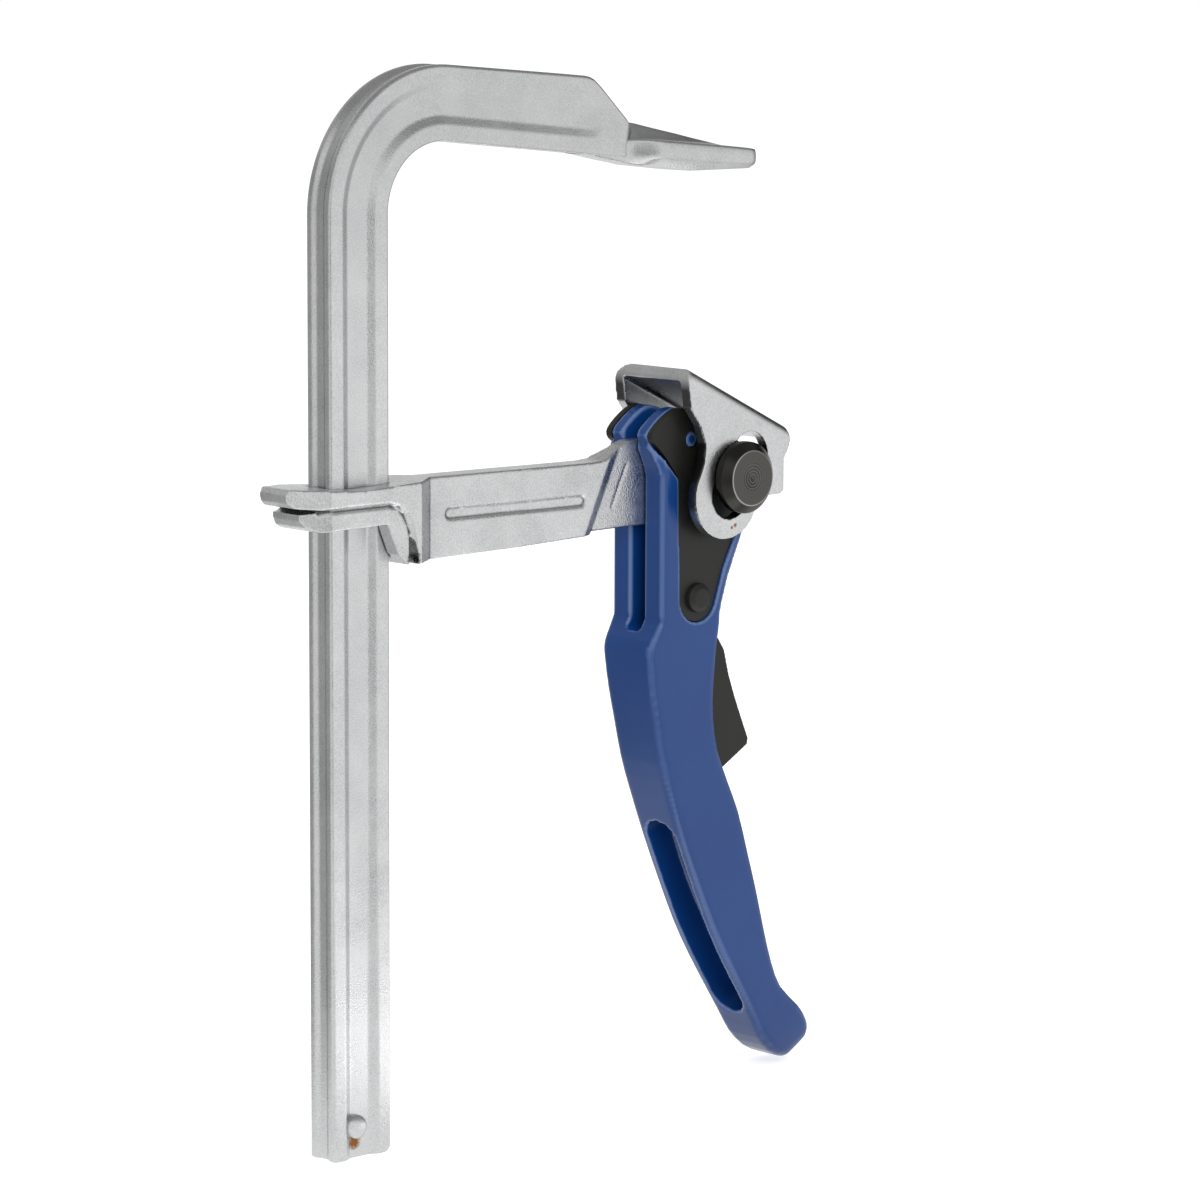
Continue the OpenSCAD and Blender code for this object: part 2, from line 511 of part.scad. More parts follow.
spring_z = -60;
spring_r = 2.4;
module release_lever() {
  color(black) at_pivot() difference() {
    union() {
      side(pawl_arm, -tongue_t / 2, tongue_t / 2);
      cross_bar(cross_at, hub_r, -tongue_t / 2, tongue_t / 2);
      intersection() {
        side(trigger, -trigger_w / 2, trigger_w / 2);
        rotate([90, 0, 90]) translate([0, neck_z]) linear_extrude(8 * trigger_w, center = true)
          polygon([[-trigger_w, 6 * neck_z], [trigger_w, 6 * neck_z], [trigger_w, 0], [tongue_t / 2, 0],
            [tongue_t / 2, -neck_z], [-tongue_t / 2, -neck_z], [-tongue_t / 2, 0], [-trigger_w, 0]]);
      }
    }
    cross_bar(cross_at, cross_d / 2 + pin_fit, -trigger_w, trigger_w);
    // blind seat of the spring
    translate([-7, 0, spring_z]) rotate([0, 90, 0]) cylinder(r = spring_r + 0.8, h = 5);
  }
}
// Coil spring between the bay's floor and the bottom of the trigger's seat, along X
wire_r = 0.4;
spring_turns = 5;
spring_from = bay_floor + 0.05;
spring_to = -2.2;
spring_sides = 6;
module pawl_spring() {
  n = spring_turns * 12;
  run = spring_to - spring_from - 2 * wire_r;
  color(silver) at_pivot() skin([for (i = [0 : n]) let (a = 360 * spring_turns * i / n)
    [for (k = [0 : spring_sides - 1]) let (b = -360 * k / spring_sides, r = spring_r + wire_r * cos(b))
      [spring_from + wire_r + run * i / n + wire_r * sin(b), r * cos(a), spring_z + r * sin(a)]]]);
}

// ---- pivot pin and shoe --------------------------------------------------------------------

head_t = 2.6;
head_bevel = 2;
ring_t = 1.5;
groove_r = pivot_d / 2 - 0.9;
// Stations along the pin, from its far end
pin_far = shoe_far + 3.4;
ring_far = shoe_far + seat_gap + ring_t;
head_near = shoe_near - seat_gap;
module pivot_pin() {
  r = pivot_d / 2;
  hr = pivot_head_d / 2;
  top = pin_far - head_near + head_t + head_bevel;
  color([0.3, 0.29, 0.28]) at_pivot() translate([0, pin_far, 0]) rotate([90, 0, 0]) difference() {
    rotate_extrude() polygon([[0, 0], [r - 0.8, 0], [r, 0.8], [r, pin_far - ring_far - 0.1],
      [groove_r, pin_far - ring_far - 0.1], [groove_r, pin_far - ring_far + ring_t],
      [r, pin_far - ring_far + ring_t], [r, pin_far - head_near], [hr, pin_far - head_near],
      [hr, pin_far - head_near + head_t], [hr - 2.2, top], [0, top]]);
    translate([0, 0, top - 0.5]) cylinder(r1 = 0.1, r2 = 0.7, h = 0.6);
  }
}
// Retaining ring in the pin's groove on the far side, open at the bottom
module pivot_ring() {
  color(black) at_pivot() translate([0, ring_far, 0]) rotate([90, 0, 0]) difference() {
    cylinder(r = pivot_d / 2 + 2.8, h = ring_t);
    translate([0, 0, -1]) cylinder(r = groove_r + 0.05, h = ring_t + 2);
    translate([-2, -20, -1]) cube([4, 16, ring_t + 2]);
  }
}
// Wall of the shoe, square to its pressure face
lobe_r = 11.6;
lobe_at = [-2.2, -6.6];
shoe_back = 17.3;
shoe_wall = [[-29.4, shoe_rise + 1], [-29.4, shoe_rise - 3], [-27.9, 13.6], [-25.1, 9.6], [-19.7, 6.8],
  [-15.6, 3], [-13.9, -1.7], [-13.7, -5.3], [0, -6.6], [9.4, -6.2], [10.9, -3.4], [11.9, -0.8], [shoe_back - 0.7, 1.6],
  [shoe_back - 0.1, 3.2], [14.7, 8.3], [13.3, 10.6], [13.7, 13.5], [13.3, shoe_rise - 2.6],
  [11.8, shoe_rise - 0.7], [10.4, shoe_rise + 1]];
near_bend = 2.8;                         // outer radii of its two bends
far_bend = 5.8;
module shoe_section() {
  difference() {
    union() {
      translate([shoe_near, -30]) square([shoe_w, 30 + shoe_rise - far_bend]);
      translate([shoe_near, -30]) square([shoe_w - far_bend, 30 + shoe_rise - near_bend]);
      translate([shoe_near + near_bend, -30]) square([shoe_w - near_bend - far_bend, 30 + shoe_rise]);
      translate([shoe_near + near_bend, shoe_rise - near_bend]) circle(r = near_bend);
      translate([shoe_far - far_bend, shoe_rise - far_bend]) circle(r = far_bend);
    }
    translate([shoe_near + shoe_t, -31]) square([shoe_w - 2 * shoe_t, 31 + shoe_under]);
  }
}
slot_up = slot_play * 0.53;               // slot's ends from the pin, along the slot
slot_down = -slot_play * 0.47;
module pressure_shoe() {
  color(silver) at_pivot() difference() {
    rotate([0, shoe_tilt, 0]) intersection() {
      translate([-30, 0, 0]) rotate([90, 0, 90]) linear_extrude(50) shoe_section();
      union() {
        side(shoe_wall, -shoe_w, shoe_w);
        cross_bar(lobe_at, lobe_r, -shoe_w, shoe_w);
      }
    }
    rotate([0, slot_lean, 0]) translate([-slot_off, 0, 0]) {
      cross_bar([0, slot_up], slot_r, -shoe_w, shoe_w);
      cross_bar([0, slot_down], slot_r, -shoe_w, shoe_w);
      side([[-slot_r, slot_down], [slot_r, slot_down], [slot_r, slot_up], [-slot_r, slot_up]], -shoe_w, shoe_w);
    }
  }
}

rail();
rail_stop_pin();
sliding_arm();
handle();
cam_plate_near();
cam_plate_far();
cross_pin();
release_lever();
pawl_spring();
pivot_pin();
pivot_ring();
pressure_shoe();
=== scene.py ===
"""Looks of the quick release bar clamp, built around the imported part.

Sizes and places are millimetres in the part's own frame: the origin is the middle of the fixed jaw's
clamping face, +Z runs up the rail and +X runs along the arms. metres() turns them into Blender's units.
"""

import bmesh
import bpy
import numpy as np
from mathutils import Matrix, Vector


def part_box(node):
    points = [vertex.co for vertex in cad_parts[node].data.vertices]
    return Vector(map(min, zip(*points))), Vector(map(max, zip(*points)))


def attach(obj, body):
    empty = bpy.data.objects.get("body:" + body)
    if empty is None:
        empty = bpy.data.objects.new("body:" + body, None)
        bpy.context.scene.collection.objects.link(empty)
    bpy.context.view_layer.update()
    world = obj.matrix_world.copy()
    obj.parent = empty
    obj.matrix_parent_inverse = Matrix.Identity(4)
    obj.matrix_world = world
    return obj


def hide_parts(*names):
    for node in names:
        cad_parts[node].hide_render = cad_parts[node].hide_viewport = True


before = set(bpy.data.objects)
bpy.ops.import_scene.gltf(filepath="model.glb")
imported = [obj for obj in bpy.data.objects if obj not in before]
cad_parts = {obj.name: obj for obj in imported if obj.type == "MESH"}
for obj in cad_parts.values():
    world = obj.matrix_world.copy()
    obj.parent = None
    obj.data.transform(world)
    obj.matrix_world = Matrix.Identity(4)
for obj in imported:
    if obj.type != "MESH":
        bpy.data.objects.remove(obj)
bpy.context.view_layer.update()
MM = 0.001


def metres(points):
    """Millimetres to metres."""
    return np.asarray(points, float) * MM


def span(node):
    """Lowest and highest corner of a CAD node, in millimetres."""
    low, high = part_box(node)
    return np.array(low) / MM, np.array(high) / MM


# ---- driving sizes, the same as the part's ------------------------------------------------------

RAIL_W = 19.5
RAIL_T = 9.5
THROAT = 113.0
BEND_R = 17.8
SLOPE = np.radians(5.6)
CHANNEL_W = 11.0
CHANNEL_FLOOR = 6.2
CHANNEL_D = 1.3
GROOVE_D = 0.8
CORNER = 0.9
ROOT_X = -40.0
ROOT_RISE = 5.1
PIVOT = np.array([1.1, -81.8])
CROSS_PIN = PIVOT + [-9.6, -32.6]
STOP_PIN = np.array([-THROAT - RAIL_W / 2 - 1.7, -241.6])
RAIL_X = -THROAT - RAIL_W / 2
RAIL_FOOT = span("rail")[0][2]
PIVOT_R = 6.0
# The pivot pin's head, the flat face inside its bevel, and the depth of its retaining groove
HEAD_R = 9.7
FACE_R = 7.5
PIN_GROOVE_D = 0.9


# ---- meshes --------------------------------------------------------------------------------------


def finished(name, points, faces, body, nodes=(), crease=40.0):
    """A closed mesh from points in millimetres, its faces turned outwards and smooth up to the crease angle."""
    mesh = bpy.data.meshes.new(name)
    mesh.from_pydata(metres(points).tolist(), [], faces)
    shell = bmesh.new()
    shell.from_mesh(mesh)
    bmesh.ops.remove_doubles(shell, verts=shell.verts, dist=1e-7)
    bmesh.ops.recalc_face_normals(shell, faces=shell.faces)
    shell.to_mesh(mesh)
    shell.free()
    return placed(name, mesh, body, nodes, crease)


def placed(name, mesh, body, nodes, crease):
    """The mesh as an object at the origin, riding on its body and standing for its nodes."""
    mesh.shade_smooth()
    mesh.set_sharp_from_angle(angle=np.radians(crease))
    piece = bpy.data.objects.new(name, mesh)
    bpy.context.scene.collection.objects.link(piece)
    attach(piece, body)
    if nodes:
        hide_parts(*nodes)
    return piece


def ring_faces(rings, count):
    """Quads between rings of equal point count, with a flat cap on each end ring."""
    row, col = np.meshgrid(np.arange(rings - 1), np.arange(count), indexing="ij")
    step = (col + 1) % count
    quads = np.stack([row * count + col, row * count + step, (row + 1) * count + step, (row + 1) * count + col], -1)
    caps = [list(range(count))[::-1], list(range((rings - 1) * count, rings * count))]
    return quads.reshape(-1, 4).tolist() + caps


def filleted(corners, radius, steps=4):
    """Rounds every corner of closed outlines: each corner becomes a parabola that leaves its two sides at most
    radius away from the corner. corners is (outlines, corners, 2) and radius is one number per corner."""
    before = np.roll(corners, 1, 1) - corners
    after = np.roll(corners, -1, 1) - corners
    radius = np.broadcast_to(np.asarray(radius, float), corners.shape[:2])[..., None]

    def reach(side):
        length = np.maximum(np.linalg.norm(side, axis=2, keepdims=True), 1e-9)
        return side / length * np.minimum(radius, 0.48 * length)

    t = np.linspace(0, 1, steps + 1)[None, None, :, None]
    leave, join = reach(before)[:, :, None], reach(after)[:, :, None]
    curve = corners[:, :, None] + leave * (1 - t) ** 2 + join * t**2
    return curve.reshape(len(corners), -1, 2)


def smoothstep(x, start, end):
    """0 before start, 1 after end, with a smooth cubic between."""
    t = np.clip((np.asarray(x, float) - start) / (end - start), 0, 1)
    return t * t * (3 - 2 * t)


def turned(name, profile, centre, body, nodes=(), sides=96, crease=35.0):
    """A solid of revolution about an axis along Y: a profile of (radius, y) turned about the point (x, z)."""
    profile = np.asarray(profile, float)
    angle = np.linspace(0, 2 * np.pi, sides, endpoint=False)
    radius, along = profile[:, :1], profile[:, 1:]
    points = np.stack([centre[0] + radius * np.cos(angle), along + 0 * angle, centre[1] + radius * np.sin(angle)], -1)
    return finished(name, points.reshape(-1, 3), ring_faces(len(profile), sides), body, nodes, crease)


# ---- rail ----------------------------------------------------------------------------------------

BEND_MID = BEND_R + RAIL_W / 2
ARM_LENGTH = (THROAT + ROOT_X - BEND_R - BEND_R * np.sin(SLOPE)) / np.cos(SLOPE)
BEND_X = -THROAT + BEND_R
BEND_Z = ROOT_RISE + ARM_LENGTH * np.sin(SLOPE) - BEND_R * np.cos(SLOPE)
BEND_TURN = np.pi / 2 + SLOPE
BEND_LENGTH = BEND_MID * BEND_TURN
ARM_END = BEND_LENGTH + ARM_LENGTH
# How much the arm's top rises for each millimetre along it
ARM_SWELL = 0.019
# The shoulder's side outline, (x, z), from the arm's top down onto the tongue
SHOULDER = [(-56.0, 26.95), (-45.4, 26.05), (-43.9, 25.75), (-42.4, 25.1), (-40.0, 23.2), (-29.6, 13.4),
            (-27.2, 11.4), (-24.0, 8.6)]


def rail_path(s):
    """Middle line of the rail at length s from the start of its bend: straight up before it, a circle through
    the bend, then straight along the sloping arm. Gives the point and the outward direction, both (x, z)."""
    s = np.asarray(s, float)
    turn = np.clip(s / BEND_MID, 0, BEND_TURN)
    outward = np.stack([-np.cos(turn), np.sin(turn)], -1)
    point = np.array([BEND_X, BEND_Z]) + BEND_MID * outward
    point[:, 1] += np.minimum(s, 0)
    beyond = np.maximum(s - BEND_LENGTH, 0)[:, None]
    return point + beyond * [np.cos(SLOPE), -np.sin(SLOPE)], outward


def rail_section(s, inner, outer):
    """The section at each length s, as (depth, width) points round one half and back round the other. Its narrow
    faces lie at the inner and outer limit and have a groove, its corners are quarter circles, and its broad faces
    are flat but for the channel: a ramp with soft ends down from the channel's edge, which ends in a half circle
    on the arm and grows shallower from the bend on."""
    half, corner = RAIL_T / 2, CORNER
    across = np.linspace(0, 1, 12) * (half - corner)
    angle = np.linspace(0, np.pi / 2, 6)[1:-1]
    share = np.linspace(0, 1, 80)
    fade = 1 - smoothstep(s, ARM_END - 10, ARM_END)[:, None]
    groove = GROOVE_D * fade * (1 - smoothstep(across, 1.0, 3.0))[None]
    inner, outer = inner[:, None], outer[:, None]
    broad = outer - corner + share[None] * (inner - outer + 2 * corner)
    past = np.clip(s - (ARM_END - 4.5), 0, None)[:, None]
    slope = (CHANNEL_W / 2 - np.hypot(broad, past)) * 2 / (CHANNEL_W - CHANNEL_FLOOR)
    slope = sum(np.clip(slope - k, 0, 1) for k in (-0.15, -0.05, 0.05, 0.15)) / 4
    fading = 0.35 * smoothstep(s, 0.6 * BEND_LENGTH, BEND_LENGTH + 6)
    fading += 0.25 * smoothstep(s, ARM_END - 18, ARM_END)
    channel = CHANNEL_D * slope * (1 - fading)[:, None]
    flat = np.ones_like(inner)
    depth = np.concatenate([
        outer - groove, outer - corner + corner * np.cos(angle), broad,
        inner + corner - corner * np.sin(angle), (inner + groove)[:, ::-1],
    ], 1)
    width = np.concatenate([
        flat * across, flat * (half - corner + corner * np.sin(angle)), half - channel,
        flat * (half - corner + corner * np.cos(angle)), flat * across[::-1],
    ], 1)
    back = slice(-2, 0, -1)
    return np.concatenate([depth, depth[:, back]], 1), np.concatenate([width, -width[:, back]], 1)


def rail_limits(s):
    """Inner and outer limit of the section's depth at each length s. They round the foot's two corners, let the
    arm's top rise towards its end, and bring it down over the shoulder."""
    foot = s - (RAIL_FOOT - BEND_Z)
    inner, outer = -RAIL_W / 2 * np.ones_like(s), RAIL_W / 2 * np.ones_like(s)
    for limit, radius, side in ((inner, 1.9, 1), (outer, 0.8, -1)):
        cut = radius - np.sqrt(np.maximum(radius**2 - np.clip(radius - foot, 0, radius) ** 2, 0))
        limit += side * cut
    along = s - BEND_LENGTH
    start, outward = rail_path([BEND_LENGTH])
    forward = np.array([np.cos(SLOPE), -np.sin(SLOPE)])
    shoulder = np.array(SHOULDER) - start[0]
    outer += ARM_SWELL * np.clip(along, 0, 36)
    drop = np.interp(along, shoulder @ forward, shoulder @ outward[0])
    outer = np.where(along > (shoulder @ forward)[0], drop, outer)
    return inner, outer


def rail_bar():
    """The bar: its section carried along the path between the limits, and drawn in to the tongue's web at the
    foot of the shoulder."""
    foot = RAIL_FOOT - BEND_Z
    end = ARM_END + 15
    s = np.unique(np.concatenate([
        foot + 2.2 * (1 - np.cos(np.linspace(0, np.pi / 2, 9))),
        np.linspace(foot + 2.6, -0.5, 60),
        np.linspace(0, BEND_LENGTH, 56),
        np.linspace(BEND_LENGTH + 1, ARM_END - 12, 14),
        np.linspace(ARM_END - 11, end, 72),
    ]))
    point, outward = rail_path(s)
    depth, width = rail_section(s, *rail_limits(s))
    width *= (1 - 0.62 * smoothstep(point[:, 0], -31.0, -25))[:, None]
    points = np.stack([point[:, :1] + depth * outward[:, :1], width, point[:, 1:] + depth * outward[:, 1:]], -1)
    faces = ring_faces(len(s), depth.shape[1])
    return finished("rail_bar", points.reshape(-1, 3), faces, "rail", ["rail"], 30)


# Heights along the jaw tongue: x, underside, lower edge of the side, upper edge of the side, top of the web
TONGUE = np.array([
    [-46, 5.7, 7.0, 8.8, 11.0],
    [-41, 4.6, 6.0, 9.0, 12.5],
    [-35, 3.4, 5.0, 9.0, 13.6],
    [-27, 2.0, 4.5, 8.95, 13.4],
    [-17, 0.9, 3.8, 8.1, 11.3],
    [-9, 0.05, 3.05, 7.35, 9.7],
    [-4, 0.0, 2.6, 6.9, 8.6],
    [2, 0.0, 2.05, 6.35, 7.4],
    [9, 0.0, 1.45, 5.65, 5.9],
    [12, 0.0, 1.4, 5.25, 5.4],
    [13.6, 0.0, 1.4, 5.0, 5.1],
    [14.0, 0.4, 1.8, 4.5, 4.6],
])


def tongue_heights(x):
    """The table's columns at x, each the mean of three places so that they run without kinks."""
    reach = 1.6 * np.clip((11 - x) / 3, 0, 1)
    return [sum(np.interp(x + k * reach, TONGUE[:, 0], TONGUE[:, c]) for k in (-1, 0, 1)) / 3 for c in (1, 2, 3, 4)]


def tongue_half_width(x):
    """Half the tongue's width: it flares out of the bar over 9 mm and ends in round corners."""
    flare = 4.7 + 5.3 * smoothstep(x, -31.5, -21.5)
    tip = np.clip(x - 10, 0, 4)
    return flare - (4 - np.sqrt(np.maximum(16 - tip**2, 0)))


def jaw_tongue():
    """The tongue: at each x an outline with a flat pad below, sides drawn up from it, a crowned side face, and a
    thin web standing on the top, with every corner rounded."""
    tip = 10 + 4 * np.sin(np.linspace(0, 1, 16) * np.pi / 2)
    x = np.concatenate([np.linspace(-46, -32, 24), np.linspace(-31, 9.5, 34), tip])
    low, lip, top, web = tongue_heights(x)
    half = tongue_half_width(x)
    pad = np.minimum(5.4, half * 0.72)
    foot = np.minimum(3.2, half * 0.6)
    crest = np.minimum(1.3, half * 0.3)
    side = [
        (0 * x, low), (pad, low), (half - 0.25, lip), (half, (lip + top) / 2), (half - 0.3, top),
        (half - 1.2, top + 0.25), (foot, top + 0.15 + 0.12 * (web - top)), (crest, web), (0 * x, web + 0.1),
    ]
    corners = side + [(-y, z) for y, z in side[-2:0:-1]]
    radii = [1, 0.8, 0.9, 1.2, 0.5, 0.7, 1.6, 0.5, 1]
    radii += radii[-2:0:-1]
    outline = filleted(np.stack([np.stack(c, -1) for c in corners], 1), np.array(radii)[None], 3)
    points = np.concatenate([np.broadcast_to(x[:, None, None], outline.shape[:2] + (1,)), outline], -1)
    faces = ring_faces(len(x), outline.shape[1])
    return finished("jaw_tongue", points.reshape(-1, 3), faces, "rail", ["rail"], 38)


def stop_pin():
    """Both peened ends of the stop pin: a dome whose radius follows a quarter ellipse above a short straight."""
    radius, straight, rise = 3.15, 0.9, 1.75
    floor = RAIL_T / 2 - CHANNEL_D
    t = np.linspace(0, np.pi / 2, 12)
    dome = np.stack([radius * np.cos(t), floor + straight + rise * np.sin(t)], -1)
    dome[-1, 0] = 0.02
    half = np.concatenate([[[radius, floor - 0.2]], dome])
    profile = np.concatenate([half[::-1] * [1, -1], half])
    return turned("stop_pin", profile, STOP_PIN, "rail", ["rail_stop_pin"], 48, 50)


# ---- forged, cast and pressed pieces -------------------------------------------------------------


# Where the head's two bands meet on its broad faces, (x, z)
BAND_SEAM = np.array([RAIL_X, PIVOT[1]]) + [(-16, 1.1), (-14, 1.4), (-9, 1.5), (5, 1.5), (8.2, 0.7), (10.4, -1.4),
                                            (11.9, -4.2), (12.7, -7), (13, -11)]
SEAM_WIDTH = 1.1
SEAM_DEPTH = 0.9
SEAM_LEAST_Y = 7.5


def pressed_in(points, line, width, depth, least_y):
    """Points beyond least_y on either side move towards the middle plane along a line of (x, z) places, by a
    rounded groove: depth times (1 - (distance / width) squared) squared."""
    here = points[:, None, ::2]
    start, step = line[:-1], np.diff(line, axis=0)
    share = np.clip(((here - start) * step).sum(2) / (step**2).sum(1), 0, 1)
    gap = np.linalg.norm(here - (start + share[..., None] * step), axis=2).min(1)
    cut = depth * np.clip(1 - (gap / width) ** 2, 0, 1) ** 2
    points[:, 1] -= np.sign(points[:, 1]) * np.where(np.abs(points[:, 1]) > least_y, cut, 0)
    return points


def softened(node, name, body, voxel, passes, crease=60.0, seam=None):
    """A forged or cast piece has every edge rounded, so the CAD node's solid is remeshed to even cells of one
    voxel and smoothed a few times: each point moves half way to the mean of its neighbours per pass. A seam is
    pressed in last."""
    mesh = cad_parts[node].data.copy()
    shell = bmesh.new()
    shell.from_mesh(mesh)
    bmesh.ops.remove_doubles(shell, verts=shell.verts, dist=1e-7)
    shell.to_mesh(mesh)
    shell.free()
    draft = bpy.data.objects.new(name + "_draft", mesh)
    bpy.context.scene.collection.objects.link(draft)
    cells = draft.modifiers.new("cells", "REMESH")
    cells.mode = "VOXEL"
    cells.voxel_size = voxel * MM
    ease = draft.modifiers.new("ease", "SMOOTH")
    ease.factor = 0.5
    ease.iterations = passes
    bpy.context.view_layer.update()
    result = bpy.data.meshes.new_from_object(draft.evaluated_get(bpy.context.evaluated_depsgraph_get()))
    bpy.data.objects.remove(draft)
    result.name = name
    result.materials.clear()
    if seam is not None:
        points = np.empty(len(result.vertices) * 3)
        result.vertices.foreach_get("co", points)
        points = pressed_in(points.reshape(-1, 3) / MM, seam, SEAM_WIDTH, SEAM_DEPTH, SEAM_LEAST_Y)
        result.vertices.foreach_set("co", metres(points).ravel())
    return placed(name, result, body, [node], crease)


# ---- pins ----------------------------------------------------------------------------------------


def pivot_pin():
    """The turned pin: shank, retaining groove, and the wide head with its long bevel and a centre mark."""
    low, high = span("pivot_pin")
    face, far = low[1], high[1]
    head_back = span("pressure_shoe")[0][1] - 0.3
    ring_low, ring_high = [corner[1] for corner in span("pivot_ring")]
    profile = [
        (0.01, face + 0.45), (0.5, face + 0.1), (0.9, face), (FACE_R - 0.3, face), (FACE_R, face + 0.12),
        (HEAD_R - 0.25, face + 1.95), (HEAD_R - 0.04, face + 2.2), (HEAD_R, face + 2.45),
        (HEAD_R, head_back - 0.3), (HEAD_R - 0.3, head_back), (PIVOT_R, head_back), (PIVOT_R, ring_low - 0.05),
        (PIVOT_R - PIN_GROOVE_D, ring_low - 0.05), (PIVOT_R - PIN_GROOVE_D, ring_high + 0.05),
        (PIVOT_R, ring_high + 0.05), (PIVOT_R, far - 0.8), (PIVOT_R - 0.8, far), (0.01, far),
    ]
    return turned("pivot_pin_turned", profile, PIVOT, "pin", ["pivot_pin"], 128, 18)


def cross_pin():
    """The small pin: straight, with a broken edge and a slightly domed end on both sides."""
    low, high = span("cross_pin")
    r, end = (high[0] - low[0]) / 2, high[1]
    half = np.array([(r, end - 1.3), (r - 0.12, end - 1.0), (r - 1.1, end - 0.25), (r - 1.35, end - 0.1),
                     (r - 2.4, end), (0.01, end)])
    profile = np.concatenate([half[::-1] * [1, -1], half])
    return turned("cross_pin_turned", profile, CROSS_PIN, "lever", ["cross_pin"], 64, 24)


def spring():
    """The coil: a round wire of 0.4 mm radius carried along a helix whose axis runs along X."""
    low, high = span("pawl_spring")
    wire, turns = 0.4, 5
    coil = (high[1] - low[1]) / 2 - wire
    axis_z = (low[2] + high[2]) / 2
    s = np.linspace(0, 1, turns * 36 + 1)[:, None]
    b = np.linspace(0, 2 * np.pi, 12, endpoint=False)[None]
    a = 2 * np.pi * turns * s
    r = coil + wire * np.cos(b)
    x = low[0] + wire + (high[0] - low[0] - 2 * wire) * s + wire * np.sin(b)
    points = np.stack([x, r * np.cos(a), axis_z + r * np.sin(a)], -1)
    faces = ring_faces(len(s), b.size)
    return finished("pawl_spring_wire", points.reshape(-1, 3), faces, "lever", ["pawl_spring"])


# ---- node trees ----------------------------------------------------------------------------------


def add(tree, kind, values=None, **settings):
    """A node with its settings and its inputs: an input is a number, a colour or another node's output."""
    node = tree.nodes.new(kind)
    for key, value in settings.items():
        setattr(node, key, value)
    for key, value in (values or {}).items():
        if isinstance(value, bpy.types.NodeSocket):
            tree.links.new(value, node.inputs[key])
        else:
            node.inputs[key].default_value = value
    return node


def group(name, inputs, outputs):
    """An empty node group with its named inputs (name, kind, value) and outputs (name, kind)."""
    tree = bpy.data.node_groups.new(name, "ShaderNodeTree")
    for label, kind, value in inputs:
        socket = tree.interface.new_socket(label, in_out="INPUT", socket_type=kind)
        if value is not None:
            socket.default_value = value
    for label, kind in outputs:
        tree.interface.new_socket(label, in_out="OUTPUT", socket_type=kind)
    return tree, tree.nodes.new("NodeGroupInput").outputs, tree.nodes.new("NodeGroupOutput").inputs


def maths(tree, operation, a, b=0.0):
    """The result of a Math node."""
    return add(tree, "ShaderNodeMath", {0: a, 1: b}, operation=operation).outputs[0]


def dot(tree, a, b):
    """The dot product of two vectors."""
    return add(tree, "ShaderNodeVectorMath", {0: a, 1: b}, operation="DOT_PRODUCT").outputs["Value"]


def gap_to(tree, a, b):
    """The distance between two points."""
    return add(tree, "ShaderNodeVectorMath", {0: a, 1: b}, operation="DISTANCE").outputs["Value"]


def ramp(tree, value, start, end, change=1.0, **settings):
    """0 at the start and beyond it, running to the change at the end and beyond it."""
    inputs = {"Value": value, "From Min": start, "From Max": end, "To Max": change}
    return add(tree, "ShaderNodeMapRange", inputs, **settings).outputs["Result"]


def ranged(tree, value, low, high):
    """A 0 to 1 value spread between low and high."""
    return add(tree, "ShaderNodeMapRange", {"Value": value, "To Min": low, "To Max": high}).outputs["Result"]


def clouds(tree, where, scale, detail, rough):
    """Noise of so many cells per metre."""
    inputs = {"Vector": where, "Scale": scale, "Detail": detail, "Roughness": rough}
    return add(tree, "ShaderNodeTexNoise", inputs).outputs["Fac"]


def mix_colour(tree, factor, a, b):
    """Colour a, going over to colour b with the factor."""
    node = add(tree, "ShaderNodeMix", data_type="RGBA")
    for socket, value in ((node.inputs[0], factor), (node.inputs[6], a), (node.inputs[7], b)):
        if isinstance(value, bpy.types.NodeSocket):
            tree.links.new(value, socket)
        else:
            socket.default_value = value
    return node.outputs[2]


FLOAT, VECTOR = "NodeSocketFloat", "NodeSocketVector"
FINE_CELLS = 2600.0
BROAD_CELLS = 95.0


def grain_group():
    """Fine grain of a plated or blasted surface: two sizes of noise added, as a value from 0 to 1 and a height."""
    tree, given, out = group("surface_grain", [("Vector", VECTOR, None), ("Scale", FLOAT, 1.0)],
                             [("Value", FLOAT), ("Mottle", FLOAT), ("Height", FLOAT)])
    fine = clouds(tree, given["Vector"], maths(tree, "MULTIPLY", given["Scale"], FINE_CELLS), 2.0, 0.6)
    broad = clouds(tree, given["Vector"], maths(tree, "MULTIPLY", given["Scale"], BROAD_CELLS), 4.0, 0.65)
    tree.links.new(ramp(tree, fine, 0.3, 0.7), out["Value"])
    tree.links.new(ramp(tree, broad, 0.3, 0.7), out["Mottle"])
    tree.links.new(fine, out["Height"])
    return tree


def spot_group():
    """A ragged spot: 1 at its centre, fading to 0 at its radius, broken up by noise. Radius is in metres."""
    inputs = [("Vector", VECTOR, None), ("Centre", VECTOR, None), ("Radius", FLOAT, 0.003)]
    tree, given, out = group("ragged_spot", inputs, [("Mask", FLOAT)])
    near = ramp(tree, gap_to(tree, given["Vector"], given["Centre"]), given["Radius"], 0.0)
    broken = maths(tree, "MULTIPLY", near, clouds(tree, given["Vector"], 900.0, 3.0, 0.7))
    tree.links.new(ramp(tree, broken, 0.12, 0.3), out["Mask"])
    return tree


GRAIN = grain_group()
SPOT = spot_group()


def material(name):
    """A new material and its tree, Principled shader and Object coordinates."""
    made = bpy.data.materials.new(name)
    made.use_nodes = True
    tree = made.node_tree
    shader = tree.nodes["Principled BSDF"]
    where = add(tree, "ShaderNodeTexCoord").outputs["Object"]
    return made, tree, shader, where


def grain(tree, where, scale):
    """The outputs of the surface grain on these coordinates."""
    return add(tree, "ShaderNodeGroup", {"Vector": where, "Scale": scale}, node_tree=GRAIN).outputs


